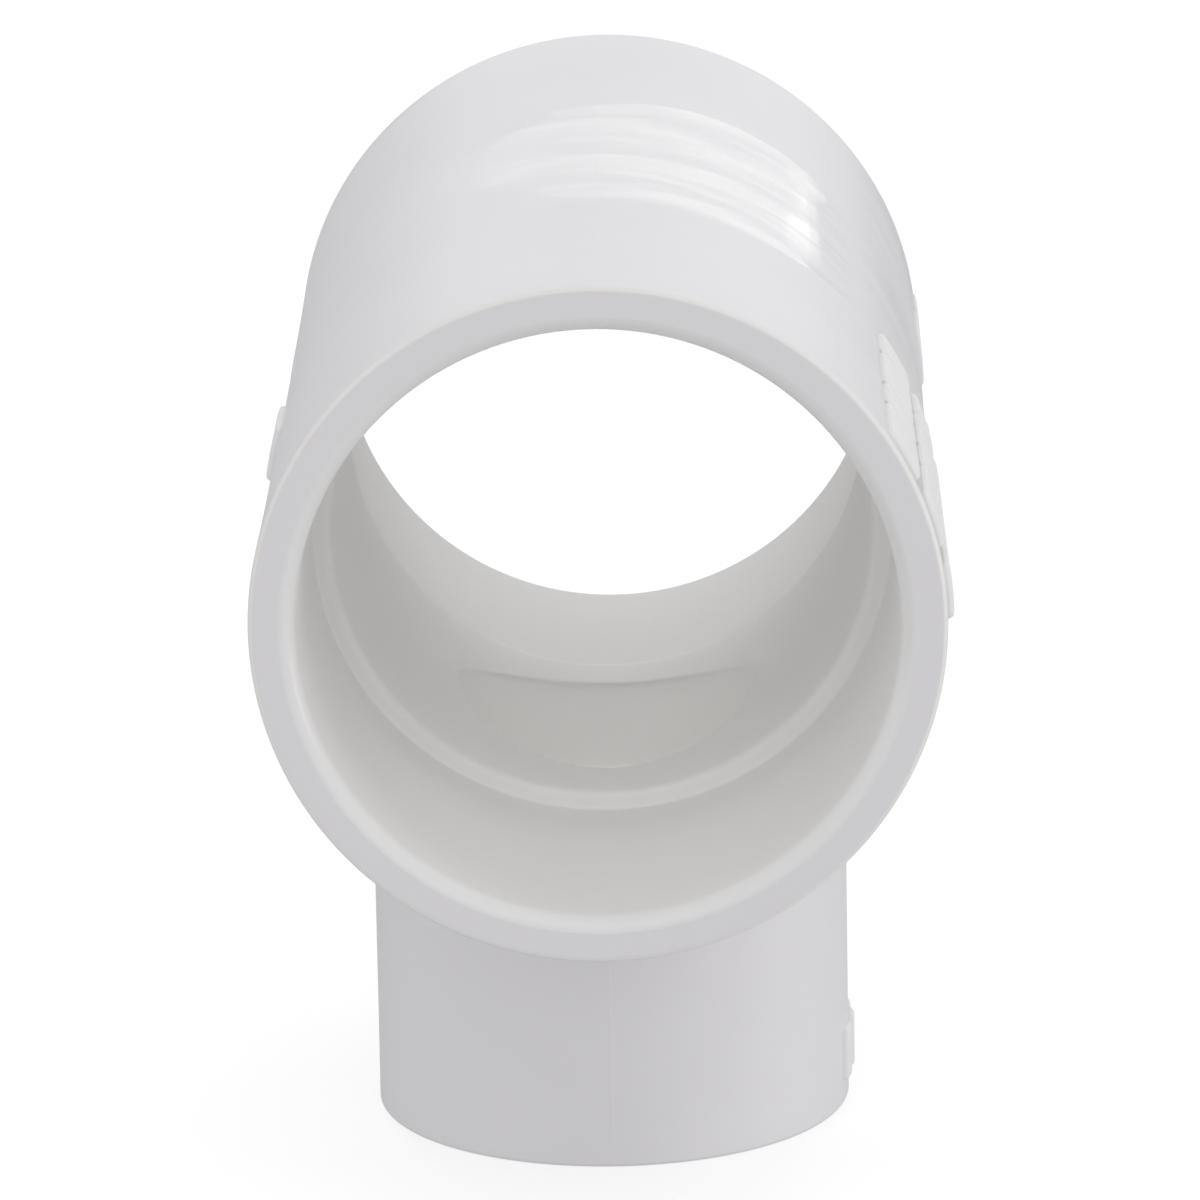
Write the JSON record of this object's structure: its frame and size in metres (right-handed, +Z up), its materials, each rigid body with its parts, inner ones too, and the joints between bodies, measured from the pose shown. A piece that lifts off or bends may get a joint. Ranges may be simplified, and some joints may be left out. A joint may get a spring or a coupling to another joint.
{
  "type": "reducing tee",
  "caption": "White moulded pipe tee: a straight run with equal slip sockets and a smaller slip socket branching square from its middle.",
  "frame": {"origin": "centre of the branch rim, on the plane the tee stands on", "axes": "+Y along the run, +Z up the branch axis towards the run, +X across the run"},
  "size_m": [0.0709, 0.1266, 0.1048],
  "materials": {
    "pvc": "glossy moulded white PVC, very slightly warm inside the bore"
  },
  "bodies": {
    "root": {"reducing_tee": "pvc"}
  },
  "joints": []
}
